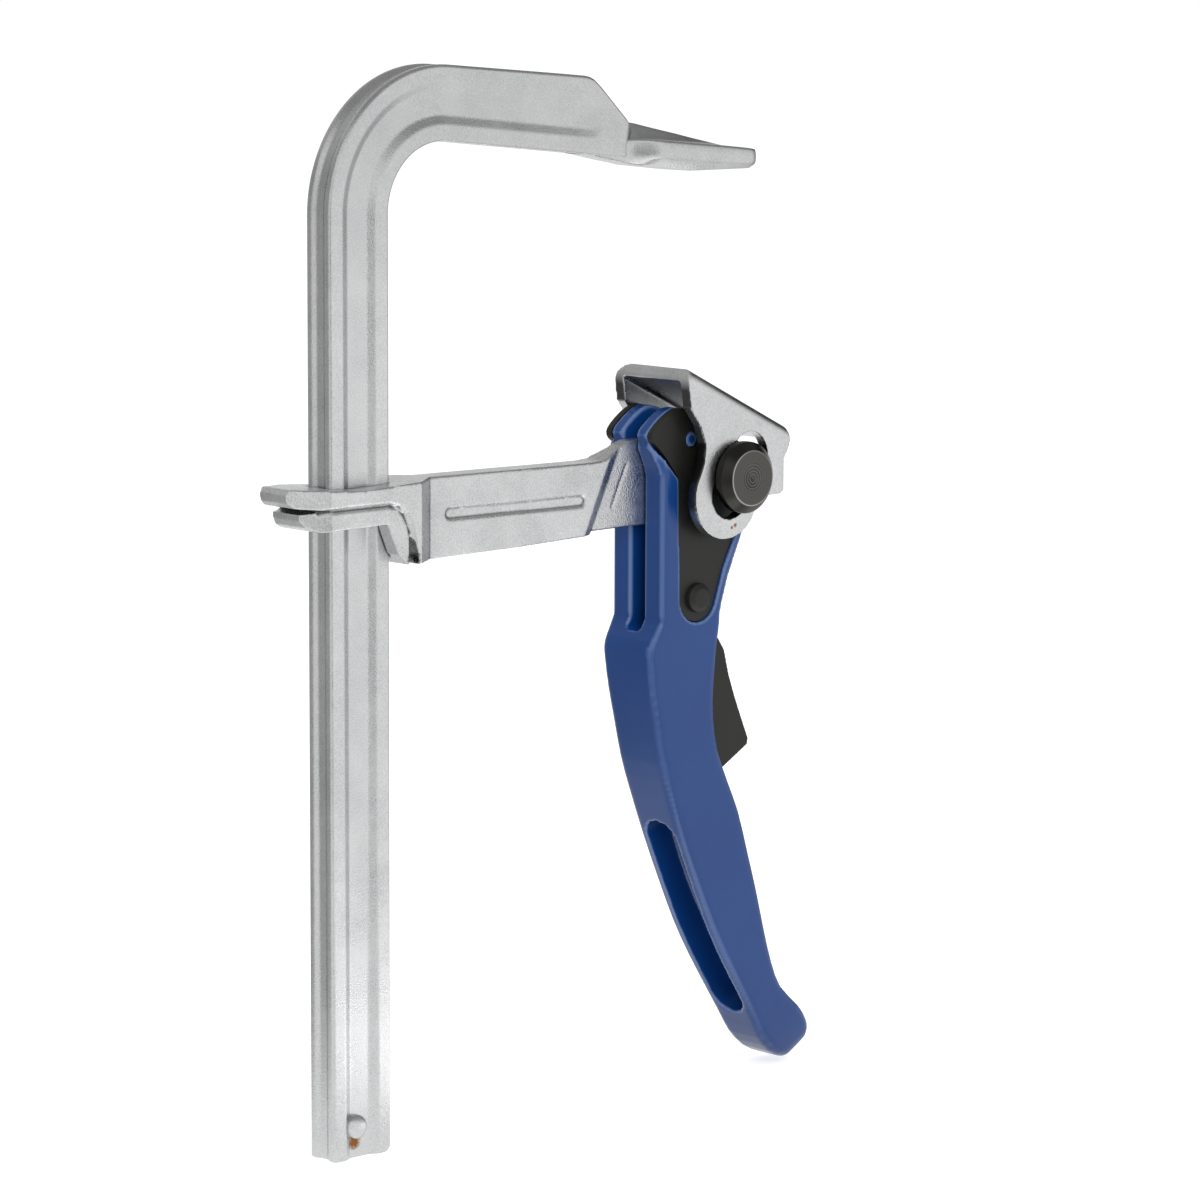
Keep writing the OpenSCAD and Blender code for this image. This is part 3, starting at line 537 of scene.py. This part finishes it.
def bumped(tree, shader, height, strength, distance):
    """A bump of the shader's normal, its distance in metres."""
    node = add(tree, "ShaderNodeBump", {"Height": height, "Strength": strength, "Distance": distance})
    tree.links.new(node.outputs["Normal"], shader.inputs["Normal"])


def sheared_edges(tree, where, facing, top, limit):
    """A mask of a bent sheet's sheared edges: they face neither along the sheet's direction nor along Y. It comes
    on from the height top to the height limit, both measured along that direction."""
    normal = add(tree, "ShaderNodeTexCoord").outputs["Normal"]
    mask = ramp(tree, dot(tree, where, facing), top * MM, limit * MM)
    for part in (dot(tree, normal, facing), add(tree, "ShaderNodeSeparateXYZ", {0: normal}).outputs["Y"]):
        mask = maths(tree, "MULTIPLY", mask, ramp(tree, maths(tree, "ABSOLUTE", part), 0.85, 0.6))
    return mask


def zinc(name, dark, light, smooth, rough, bump, depth=0.1, scale=1.0, spots=(), painted_height_shade=None, painted_hollow_shade=0.0, sheared=None):
    """Zinc plating: a bright metal whose grain moves its colour, its roughness and a very small bump, depth
    millimetres high. Spots are stains and painted shade in a notch, a painted shade darkens the metal from one
    height up to another, painted shade darkens the hollows, and sheared edges are darker."""
    made, tree, shader, where = material(name)
    noise = grain(tree, where, scale)
    colour = mix_colour(tree, noise["Mottle"], dark, light)
    # painted shade: the colour grows darker from one height up to another
    if painted_height_shade:
        start, end, share = painted_height_shade
        height = add(tree, "ShaderNodeSeparateXYZ", {0: where}).outputs["Z"]
        colour = mix_colour(tree, ramp(tree, height, start * MM, end * MM, share), colour, (0.1, 0.1, 0.1, 1))
    # painted shade: near black where Pointiness shows a hollow or crease
    if painted_hollow_shade:
        bend = add(tree, "ShaderNodeNewGeometry").outputs["Pointiness"]
        colour = mix_colour(tree, ramp(tree, bend, 0.49, 0.46, painted_hollow_shade), colour, (0.03, 0.028, 0.025, 1))
    speckled = mix_colour(tree, noise["Value"], mix_colour(tree, 0.26, colour, (0.1, 0.1, 0.11, 1)), colour)
    for centre, radius, tint in spots:
        inputs = {"Vector": where, "Centre": metres(centre), "Radius": radius * MM}
        spot = add(tree, "ShaderNodeGroup", inputs, node_tree=SPOT)
        speckled = mix_colour(tree, spot.outputs["Mask"], speckled, tint)
    if sheared:
        speckled = mix_colour(tree, sheared_edges(tree, where, *sheared), speckled, (0.09, 0.09, 0.088, 1))
    tree.links.new(speckled, shader.inputs["Base Color"])
    tree.links.new(ranged(tree, noise["Mottle"], smooth, rough), shader.inputs["Roughness"])
    shader.inputs["Metallic"].default_value = 1.0
    bumped(tree, shader, noise["Height"], bump, depth * MM)
    return made


def blue_paint():
    """Blue gloss coat over a die casting, with a faint orange peel and a painted highlight: pale convex edges."""
    made, tree, shader, where = material("blue_gloss_coat")
    noise = grain(tree, where, 0.35)
    colour = mix_colour(tree, noise["Mottle"], (0.004, 0.052, 0.235, 1), (0.006, 0.062, 0.265, 1))
    # painted highlight: pale blue mixed in where Pointiness shows a convex edge
    convex = add(tree, "ShaderNodeNewGeometry").outputs["Pointiness"]
    colour = mix_colour(tree, ramp(tree, convex, 0.514, 0.54, 0.45), colour, (0.3, 0.42, 0.7, 1))
    tree.links.new(colour, shader.inputs["Base Color"])
    tree.links.new(ranged(tree, noise["Mottle"], 0.15, 0.23), shader.inputs["Roughness"])
    bumped(tree, shader, noise["Mottle"], 0.14, 0.0001)
    return made


def black_oxide():
    """Blackened hardened steel, matt."""
    made, tree, shader, where = material("black_oxide")
    noise = grain(tree, where, 1.0)
    colour = mix_colour(tree, noise["Mottle"], (0.009, 0.009, 0.008, 1), (0.015, 0.015, 0.013, 1))
    tree.links.new(colour, shader.inputs["Base Color"])
    tree.links.new(ranged(tree, noise["Mottle"], 0.45, 0.58), shader.inputs["Roughness"])
    shader.inputs["Specular IOR Level"].default_value = 0.42
    bumped(tree, shader, noise["Height"], 0.25, 0.0001)
    return made


# Radians of the turned rings' wave for each metre of radius
RING_WAVE = 7200.0


def turned_steel():
    """Dark turned steel: rings round the pin's axis, from the distance to it, show in colour and bump near the
    middle, the head's bevel and side are near black, and a painted highlight is a bright ring round the face."""
    made, tree, shader, where = material("turned_dark_steel")
    flat = add(tree, "ShaderNodeVectorMath", {0: where, 1: (1.0, 0.0, 1.0)}, operation="MULTIPLY").outputs[0]
    radius = gap_to(tree, flat, (PIVOT[0] * MM, 0.0, PIVOT[1] * MM))
    noise = grain(tree, where, 0.7)
    wave = maths(tree, "SINE", maths(tree, "MULTIPLY", radius, RING_WAVE))
    uneven = maths(tree, "MULTIPLY", wave, noise["Mottle"])
    rings = maths(tree, "MULTIPLY", uneven, ramp(tree, radius, 5.5 * MM, 2.5 * MM))
    colour = mix_colour(tree, ramp(tree, rings, -1.0, 1.0), (0.02, 0.019, 0.017, 1), (0.165, 0.16, 0.15, 1))
    # the bevel and side darken to near black
    darker_bevel = ramp(tree, radius, FACE_R * MM, (FACE_R + 0.2) * MM, 0.8)
    colour = mix_colour(tree, darker_bevel, colour, (0.02, 0.02, 0.018, 1))
    # painted highlight: a thin bright ring on the edge round the flat face
    off_edge = maths(tree, "ABSOLUTE", maths(tree, "SUBTRACT", radius, (FACE_R - 0.14) * MM))
    colour = mix_colour(tree, ramp(tree, off_edge, 0.19 * MM, 0.08 * MM), colour, (0.4, 0.39, 0.37, 1))
    tree.links.new(colour, shader.inputs["Base Color"])
    tree.links.new(ranged(tree, noise["Mottle"], 0.2, 0.32), shader.inputs["Roughness"])
    shader.inputs["Metallic"].default_value = 0.95
    bumped(tree, shader, rings, 0.6, 0.00015)
    return made


def spring_wire():
    """Bright drawn wire."""
    made, tree, shader, where = material("spring_wire")
    noise = grain(tree, where, 1.0)
    colour = mix_colour(tree, noise["Mottle"], (0.5, 0.5, 0.5, 1), (0.6, 0.6, 0.6, 1))
    tree.links.new(colour, shader.inputs["Base Color"])
    shader.inputs["Metallic"].default_value = 1.0
    shader.inputs["Roughness"].default_value = 0.3
    return made


def dress(piece, made):
    """Gives a new piece its material."""
    piece.data.materials.clear()
    piece.data.materials.append(made)


def dress_node(node, made):
    """Gives a CAD node its material."""
    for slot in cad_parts[node].material_slots:
        slot.material = made


# ---- the clamp -----------------------------------------------------------------------------------

RUST = (0.27, 0.11, 0.035, 1)
# A near-black painted shade laid in the notch on the head, where shade falls inside the hole
PAINTED_NOTCH_SHADE = (0.02, 0.018, 0.016, 1)
STAIN = [STOP_PIN[0] - 0.2, -RAIL_T / 2 + CHANNEL_D, STOP_PIN[1] - 4.0]
SPECKS = [([-0.6, -15.6, -94.8], 1.0, (0.3, 0.15, 0.08, 1)), ([-1.9, -15.6, -95.3], 0.8, (0.25, 0.17, 0.12, 1))]
NOTCH = [RAIL_X + 13.4, -9.0, PIVOT[1] - 13.2]
SHOE_FACING = (0.4384, 0.0, 0.8988)
# rolled zinc: a rust stain under the stop pin, and painted shade that darkens it towards the arm's top
rolled = zinc("rolled_zinc", (0.66, 0.665, 0.67, 1), (0.78, 0.785, 0.79, 1), 0.22, 0.34, 0.8,
              spots=[(STAIN, 3.1, RUST)], painted_height_shade=(-35, 12, 0.16))
# forged zinc: painted shade in the hollows and a painted shade spot in the notch on the head
forged = zinc("forged_zinc", (0.62, 0.625, 0.63, 1), (0.83, 0.835, 0.84, 1), 0.18, 0.38, 0.9, depth=0.18, scale=0.8,
              spots=[(NOTCH, 3.4, PAINTED_NOTCH_SHADE)], painted_hollow_shade=0.85)
pressed = zinc("pressed_zinc", (0.64, 0.645, 0.65, 1), (0.77, 0.775, 0.78, 1), 0.24, 0.36, 0.5,
               spots=SPECKS, sheared=(SHOE_FACING, -57, -59.5))
blue = blue_paint()
black = black_oxide()
dark = turned_steel()

dress(rail_bar(), rolled)
dress(jaw_tongue(), rolled)
dress(stop_pin(), rolled)
dress(softened("sliding_arm", "forged_arm", "arm", 0.4, 2, seam=BAND_SEAM), forged)
dress(softened("handle", "cast_handle", "lever", 0.6, 3), blue)
dress(softened("pressure_shoe", "pressed_shoe", "shoe", 0.4, 3), pressed)
dress(softened("release_lever", "trigger_lever", "trigger", 0.35, 3), black)
dress(pivot_pin(), dark)
dress(cross_pin(), black)
dress(spring(), spring_wire())
for plate in ("cam_plate_near", "cam_plate_far"):
    dress_node(plate, black)
dress_node("pivot_ring", dark)


# ---- stage ---------------------------------------------------------------------------------------


MIDDLE = np.array([-50.0, 0.0, -100.0])
WHITE = (1, 1, 1, 1)
FLOOR_GLOW = 0.68
# Where the studio differs from even white in gloss: direction, where the change starts and ends, and how much
STUDIO_SIDES = [
    ((-0.68, 0.73, 0.05), 0.6, 0.92, -0.6),
    ((0.97, 0.22, 0.0), 0.75, 0.97, -0.6),
    ((0.35, 0.0, 0.94), 0.35, 0.7, -0.65),
    ((-0.9, -0.43, 0.05), 0.85, 0.97, -0.22),
    ((-0.5, -0.86, -0.1), 0.95, 0.99, -0.6),
    ((-0.15, -0.4, -0.9), 0.9, 0.98, 1.2),
    ((0.67, 0.39, -0.63), 0.97, 0.995, 1.3),
]


def gloss_group():
    """How bright the studio is in gloss, by direction: 1, plus each side's change."""
    tree, given, out = group("studio_gloss", [("Direction", VECTOR, None)], [("Value", FLOAT)])
    total = 1.0
    for side, start, end, change in STUDIO_SIDES:
        way = dot(tree, given["Direction"], side)
        total = maths(tree, "ADD", total, ramp(tree, way, start, end, change, interpolation_type="SMOOTHSTEP"))
    tree.links.new(total, out["Value"])
    return tree


GLOSS = gloss_group()


def gloss(tree, direction):
    """How bright the studio is in gloss, in this direction."""
    return add(tree, "ShaderNodeGroup", {"Direction": direction}, node_tree=GLOSS).outputs["Value"]


def white_floor():
    """A pale floor under the rail's foot. The camera sees it brighter, up to white, with the clamp's shadow on
    it, and gloss sees the studio's brightness on it."""
    size, height = 9000.0, RAIL_FOOT - 0.3
    corners = [(-size, -size, height), (size, -size, height), (size, size, height), (-size, size, height)]
    mesh = bpy.data.meshes.new("studio_floor")
    mesh.from_pydata(metres(corners).tolist(), [], [(0, 1, 2, 3)])
    floor = bpy.data.objects.new("studio_floor", mesh)
    bpy.context.scene.collection.objects.link(floor)
    made = bpy.data.materials.new("pale_floor")
    made.use_nodes = True
    tree = made.node_tree
    tree.nodes.clear()
    rays = add(tree, "ShaderNodeLightPath").outputs
    seen = maths(tree, "MAXIMUM", rays["Is Camera Ray"], rays["Is Transmission Ray"])
    lit = add(tree, "ShaderNodeBsdfDiffuse", {"Color": (0.85, 0.85, 0.85, 1)})
    glow = add(tree, "ShaderNodeEmission", {"Color": WHITE, "Strength": maths(tree, "MULTIPLY", seen, FLOOR_GLOW)})
    both = add(tree, "ShaderNodeAddShader", {0: lit.outputs[0], 1: glow.outputs[0]})
    where = add(tree, "ShaderNodeTexCoord").outputs["Object"]
    look = add(tree, "ShaderNodeVectorMath", {0: where, 1: (0.0, 0.0, 0.12)}, operation="ADD").outputs[0]
    look = add(tree, "ShaderNodeVectorMath", {0: look}, operation="NORMALIZE").outputs[0]
    mirrored = add(tree, "ShaderNodeEmission", {"Color": WHITE, "Strength": gloss(tree, look)})
    mixed = add(tree, "ShaderNodeMixShader", {0: rays["Is Glossy Ray"], 1: both.outputs[0], 2: mirrored.outputs[0]})
    add(tree, "ShaderNodeOutputMaterial", {"Surface": mixed.outputs[0]})
    floor.data.materials.append(made)


def studio_world():
    """White for the camera. Gloss sees a pale studio that is dim behind the clamp, overhead, at the right and in
    one spot in front, and bright low down. Diffuse light is even."""
    world = bpy.data.worlds.new("studio")
    bpy.context.scene.world = world
    world.use_nodes = True
    tree = world.node_tree
    tree.nodes.clear()
    rays = add(tree, "ShaderNodeLightPath").outputs
    mirrored = gloss(tree, add(tree, "ShaderNodeTexCoord").outputs["Generated"])
    seen = maths(tree, "MAXIMUM", rays["Is Camera Ray"], rays["Is Glossy Ray"])
    seen = maths(tree, "MAXIMUM", seen, rays["Is Transmission Ray"])
    strength = maths(tree, "MAXIMUM", rays["Is Camera Ray"], mirrored)
    even = add(tree, "ShaderNodeBackground", {"Color": WHITE, "Strength": 0.5})
    white = add(tree, "ShaderNodeBackground", {"Color": WHITE, "Strength": strength})
    mixed = add(tree, "ShaderNodeMixShader", {0: seen, 1: even.outputs[0], 2: white.outputs[0]})
    add(tree, "ShaderNodeOutputWorld", {"Surface": mixed.outputs[0]})


def lamp(name, place, size, power):
    """A square area lamp at a place, turned to the clamp's middle and not seen in gloss, in millimetres and watts."""
    light = bpy.data.lights.new(name, "AREA")
    light.shape = "SQUARE"
    light.size = size * MM
    light.energy = power
    holder = bpy.data.objects.new(name, light)
    bpy.context.scene.collection.objects.link(holder)
    back = np.array(place, float) - MIDDLE
    back /= np.linalg.norm(back)
    across = np.cross([0, 0, 1.0], back)
    across /= np.linalg.norm(across)
    turn = np.eye(4)
    turn[:3, 0], turn[:3, 1], turn[:3, 2], turn[:3, 3] = across, np.cross(back, across), back, metres(place)
    holder.matrix_world = Matrix(turn)
    holder.visible_glossy = False


def photo_camera():
    """The camera of the photograph: 42.9 degrees round from the front, 8.3 degrees down, a long lens. The place
    is the point that maps the clamp onto the square picture."""
    yaw, pitch, roll = np.radians([42.86, 8.27, -0.22])
    shift = np.array([-64.4, 142.6, 1230.3])
    rail_foot = np.array([122.75, 0.0, 249.2])
    right = np.array([np.cos(yaw), -np.sin(yaw), 0])
    ahead = np.array([np.sin(yaw), np.cos(yaw), 0])
    down = np.array([0, 0, -1.0])
    look = ahead * np.cos(pitch) + down * np.sin(pitch)
    below = down * np.cos(pitch) - ahead * np.sin(pitch)
    x_axis = right * np.cos(roll) + below * np.sin(roll)
    y_axis = below * np.cos(roll) - right * np.sin(roll)
    turn = np.stack([x_axis, y_axis, look])
    place = -turn.T @ shift - rail_foot
    pose = np.eye(4)
    pose[:3, 0], pose[:3, 1], pose[:3, 2], pose[:3, 3] = x_axis, -y_axis, -look, metres(place)
    lens = bpy.data.cameras.new("photo_camera")
    lens.sensor_width = 36.0
    lens.lens = 142.69
    lens.clip_end = 20.0
    camera = bpy.data.objects.new("photo_camera", lens)
    bpy.context.scene.collection.objects.link(camera)
    camera.matrix_world = Matrix(pose)
    bpy.context.scene.camera = camera


photo_camera()
white_floor()
studio_world()
lamp("key_lamp", (-700, -1200, 600), 700, 7.0)
lamp("right_lamp", (1300, -500, 250), 700, 1.5)
lamp("top_lamp", (0, 100, 1300), 900, 5.0)
bpy.context.scene.view_settings.view_transform = "Standard"

bpy.context.view_layer.update()
